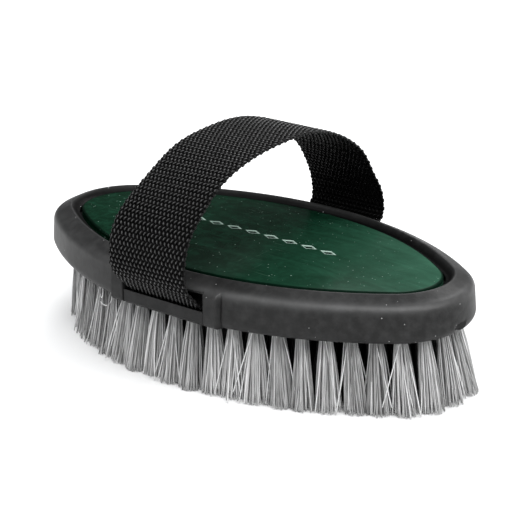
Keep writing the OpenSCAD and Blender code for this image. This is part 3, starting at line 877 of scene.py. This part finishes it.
def webbing(name, s0, s1):
    """One length of plain-weave webbing: warp yarns over and under flat weft picks."""
    s = np.arange(s0, s1 + WARP_STEP / 2, WARP_STEP)
    s[-1] = s1
    warp, weft = warp_yarns(s), weft_picks(picks[(picks >= s0) & (picks <= s1)])
    co, uv, crown = (np.concatenate([warp[k], weft[k]]) for k in (0, 3, 4))
    faces = [np.concatenate([warp[k], weft[k] + len(warp[0])]) for k in (1, 2)]
    o = make(name, co, faces, uv=uv, attrs={"crown": crown})
    o.data.materials.append(WEB)
    return o


def at_pick(s):
    """The nearest place midway between two picks, where the warps cross and two lengths can meet."""
    return round(s / PICK) * PICK


s_foot, s_knee = run.where(*FOOT), run.where(*KNEE)
s_knee_far, s_foot_far = run.length - s_knee, run.length - s_foot
# the strap is cut where it is on one body only: half-way up each leg, on the crown and at the open far foot
leg_mid, crown_mid = at_pick((s_foot + s_knee) / 2), at_pick(run.length / 2)
far_mid, far_cut = at_pick((s_knee_far + s_foot_far) / 2), at_pick(s_foot_far)

near_foot = webbing("strap_near_foot", 0.0, leg_mid)
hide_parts("strap_end_near", "strap_leg_near")
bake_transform(near_foot)
near_shoulder = webbing("strap_near_shoulder", leg_mid, crown_mid)
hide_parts("strap_crown")
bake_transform(near_shoulder)
far_shoulder = webbing("strap_far_shoulder", crown_mid, far_mid)
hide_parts("strap_leg_far")
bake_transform(far_shoulder)
far_leg = webbing("strap_far_leg", far_mid, far_cut)
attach(far_leg, "strap_far")
far_foot = webbing("strap_far_foot", far_cut, run.length)
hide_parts("strap_end_far")
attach(far_foot, "brush")


# ---------------------------------------------------------------- bristle tufts
RINGS = (48, 40, 34, 28, 22)
FIRST_INSET, RING_PITCH = 9.5, 10
FIL_R, FIL_PITCH, TUFT_R = 0.235, 0.475, 2.2
# how far the outermost ring leans outward, and how much less each ring inside it does, in degrees
LEAN, LEAN_LESS = 8.2, 2
# the shares of filaments that stray and that are cut short, and how far from the tuft's middle tips may be
STRAY_SHARE, SHORT_SHARE, TIP_REACH, STRAY_REACH = 0.09, 0.06, 5.3, 8.0
# loose filaments start at the tuft's outer side
LOOSE_OUT = 2.3
# they are named by their tuft's number in the outer ring: the side that each bends to, its length before
# the bend, the bend's radius, the degrees that it turns and its whole length
LOOSE = {31: (1, 5.5, 2.4, 240, 15.5), 32: (-1, 6.5, 3.6, 130, 14.5), 36: (-1, 0, 9, 12, 28),
         39: (1, 0, 9, 14, 28), 40: (-1, 0, 9, 15, 28), 41: (1, 0, 30, 10, 28), 43: (1, 0, 9, 12, 28),
         44: (1, 3, 20, 13, 27.5), 45: (1, 0, 9, 15, 28), 46: (-1, 0, 9, 17, 28), 16: (1, 0, 9, 14, 28),
         6: (-1, 6.0, 4.0, 170, 17)}


def oval_point(a, b, r, share):
    """x, y and outward angle at a share of the way round an oval of half-sizes a and b, end radius r."""
    side = ((a - r) ** 2 + b * b - r * r) / (2 * (b - r))
    turn = math.atan2(side - b, a - r)
    end_len = r * turn
    quarter_len = end_len + side * (math.pi / 2 - turn)
    quarter = int(4 * share)
    part = 4 * share - quarter
    go = (part if quarter % 2 == 0 else 1 - part) * quarter_len
    if go <= end_len:
        d = go / r
        x, y = a - r + r * math.cos(d), r * math.sin(d)
    else:
        d = turn + (go - end_len) / side
        x, y = side * math.cos(d), b - side + side * math.sin(d)
    return [(x, y, d), (-x, y, math.pi - d), (-x, -y, math.pi + d), (x, -y, -d)][quarter]


def hex_spots(radius, step):
    """Places of closely packed filaments within a radius."""
    spots = [((i + 0.5 * (j % 2)) * step, j * step * 0.866) for j in range(-8, 9) for i in range(-8, 9)]
    return np.array([p for p in spots if math.hypot(*p) < radius])


def tuft_axes(lean, d):
    """Unit vectors down along a tuft that leans outward, outward across it, and along the oval."""
    cl, sl, cd, sd = math.cos(lean), math.sin(lean), math.cos(d), math.sin(d)
    return np.array([sl * cd, sl * sd, -cl]), np.array([cl * cd, cl * sd, sl]), np.array([-sd, cd, 0.0])


def loose_filament(root, axis, out, along, straight, radius, turn, length, rings=22):
    """A filament that leaves its tuft: straight, bending sideways through turn degrees, then straight."""
    inside = 1.5
    s = np.linspace(-inside, length, rings)
    a = np.clip((s - straight) / radius, 0, math.radians(turn))
    side = along * 0.97 + out * 0.24
    d = axis * np.cos(a)[:, None] + side * np.sin(a)[:, None]
    step = np.gradient(s)[:, None]
    p = root - axis * inside + np.concatenate([[[0, 0, 0]], np.cumsum((d * step)[1:], axis=0)])
    across = np.cross(axis, side)
    return p, np.cross(across[None], d), np.broadcast_to(across, p.shape)


def filament_tips(spots, spread):
    """Where the filaments end, in the tuft's own plane, and which of them are strays."""
    drift = rng.normal(0, 0.8, 2)
    # a tuft flares a little more along the oval than across it, and strays do so twice as much
    tip = spots * spread * np.array([0.92, 1.08]) + drift + rng.normal(0, 0.75, spots.shape)
    stray = rng.random(len(spots)) < STRAY_SHARE
    tip[stray] += rng.normal(0, 2.9, (stray.sum(), 2)) * np.array([0.5, 1.0])
    reach = np.where(stray, STRAY_REACH, TIP_REACH)
    tip *= np.minimum(1, reach / np.maximum(np.linalg.norm(tip, axis=1), 1e-6))[:, None]
    return tip, stray


def tip_heights(n):
    """Trimmed tips stand on the floor, a little ragged, and a few are short."""
    z = 0.02 + np.abs(rng.normal(0, 0.45, n)) + 0.4 * rng.random()
    low = rng.random(n) < SHORT_SHARE
    z[low] += rng.uniform(0.5, 3.0, low.sum())
    return z


def tuft(ring, x, y, d, steps):
    """A tuft's filaments as middle lines with two cross directions, their shades, and its root and axes."""
    upright = float(smoothstep(-x, 58, 92))
    lean = math.radians(LEAN - LEAN_LESS * (ring - 1)) * (1 - 0.9 * upright)
    axis, e1, e2 = tuft_axes(lean, d)
    turn = rng.uniform(0, 2 * math.pi)
    cs, sn = math.cos(turn), math.sin(turn)
    spots = hex_spots(TUFT_R, FIL_PITCH)
    spots = spots @ np.array([[cs, -sn], [sn, cs]]) + rng.normal(0, 0.05, spots.shape)
    # at the -X end the tufts stand straighter and further in
    spots[:, 0] -= 1.8 * upright * abs(math.cos(d))
    n = len(spots)
    tip, stray = filament_tips(spots, rng.uniform(2.0, 2.4) * (1 - 0.2 * upright))
    # towards both ends the tips sweep to +X
    sweep = 2.4 * (smoothstep(x, -20, 45) + smoothstep(-x, 55, 90)) * (1 if ring == 1 else 0.6)
    tip += sweep * np.array([math.cos(d), -math.sin(d)])
    length = (BLOCK_Z - tip_heights(n) + tip[:, 0] * math.sin(lean)) / math.cos(lean)
    # the first step is a short root inside the block
    f = np.concatenate([[-0.1], np.linspace(0, 1, steps)])
    bow = rng.normal(0, 0.35, (n, 2))
    shown = np.clip(f, 0, 1)
    off = spots[:, None] + (tip - spots)[:, None] * (shown ** 0.92)[None, :, None]
    off = off + bow[:, None] * np.sin(np.pi * shown)[None, :, None]
    root = np.array([x, y, BLOCK_Z])
    p = root + axis * (f[None, :, None] * length[:, None, None]) + e1 * off[..., :1] + e2 * off[..., 1:]
    t = np.gradient(p, axis=1)
    t /= np.linalg.norm(t, axis=-1)[..., None]
    u = np.cross(np.broadcast_to(e1, t.shape), t)
    u /= np.linalg.norm(u, axis=-1)[..., None]
    # strays are painted paler, as painted light on filaments that stand out of the tuft
    shade = np.clip(rng.normal(0.42, 0.2, n) + rng.normal(0, 0.07) + 0.5 * stray, 0, 1)
    return (p, u, np.cross(t, u)), shade, (root, axis, e1, e2)


def tuft_ring(ring, sides, steps):
    """One oval ring of tufts as one piece. Only the outermost, ring 1, is pale and has loose filaments."""
    outer = ring == 1
    inset = FIRST_INSET + (ring - 1) * RING_PITCH
    b = HALF_W - inset
    # the inner rings are too narrow for the rim's end radius less their inset, so theirs follows their width
    r = max(END_R - inset, 0.42 * b)
    count = RINGS[ring - 1]
    lines, shades, loose = [], [], []
    for i in range(count):
        line, shade, (root, axis, e1, e2) = tuft(ring, *oval_point(HALF_L - inset, b, r, i / count), steps)
        lines.append(line)
        shades.append(shade)
        if outer and i in LOOSE:
            way, *bend = LOOSE[i]
            loose.append(loose_filament(root + e1 * LOOSE_OUT, axis, e1, e2 * way, *bend))
    centre, u, v = (np.concatenate(k) for k in zip(*lines))
    co, quads, caps = tubes(centre, u, v, FIL_R, FIL_R, sides)
    n, rings = centre.shape[:2]
    along = np.tile(np.repeat(np.clip(np.linspace(-0.1, 1, rings), 0, 1), sides), n)
    shade = np.repeat(np.concatenate(shades), rings * sides)
    if loose:
        co2, quads2, caps2 = tubes(*(np.stack(k) for k in zip(*loose)), FIL_R, FIL_R, sides)
        quads, caps = np.concatenate([quads, quads2 + len(co)]), np.concatenate([caps, caps2 + len(co)])
        co = np.concatenate([co, co2])
        # loose filaments get the palest tone, as painted light, and no painted shade at the root
        shade, along = (np.concatenate([k, np.ones(len(co2))]) for k in (shade, along))
    o = make("bristles_%d" % ring, co, [quads, caps], attrs={"shade": shade, "along": along})
    finish_piece(o, PALE if outer else DARK, "brush", "tufts_ring_%d" % ring)


tuft_ring(1, sides=6, steps=8)
for ring in range(2, len(RINGS) + 1):
    tuft_ring(ring, sides=5, steps=6)


# ---------------------------------------------------------------- CAD pieces that keep their own shape
def dress(node, material, bevel=0.0):
    """Gives a CAD piece its material and, where bevel is a width in mm, eased edges."""
    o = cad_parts[node]
    o.data.materials.clear()
    o.data.materials.append(material)
    if bevel:
        weld = o.modifiers.new("weld", "WELD")
        weld.merge_threshold = 1e-6
        ease = o.modifiers.new("edges", "BEVEL")
        ease.width, ease.segments, ease.limit_method = bevel * MM, 3, "ANGLE"
        ease.angle_limit = math.radians(35)
        ease.harden_normals = False


dress("core_block", BLOCK)
for side in ("near", "far"):
    dress("strap_clamp_" + side, CLAMP, bevel=0.35)
for ring in range(1, len(RINGS) + 1):
    dress("anchors_ring_%d" % ring, STEEL)
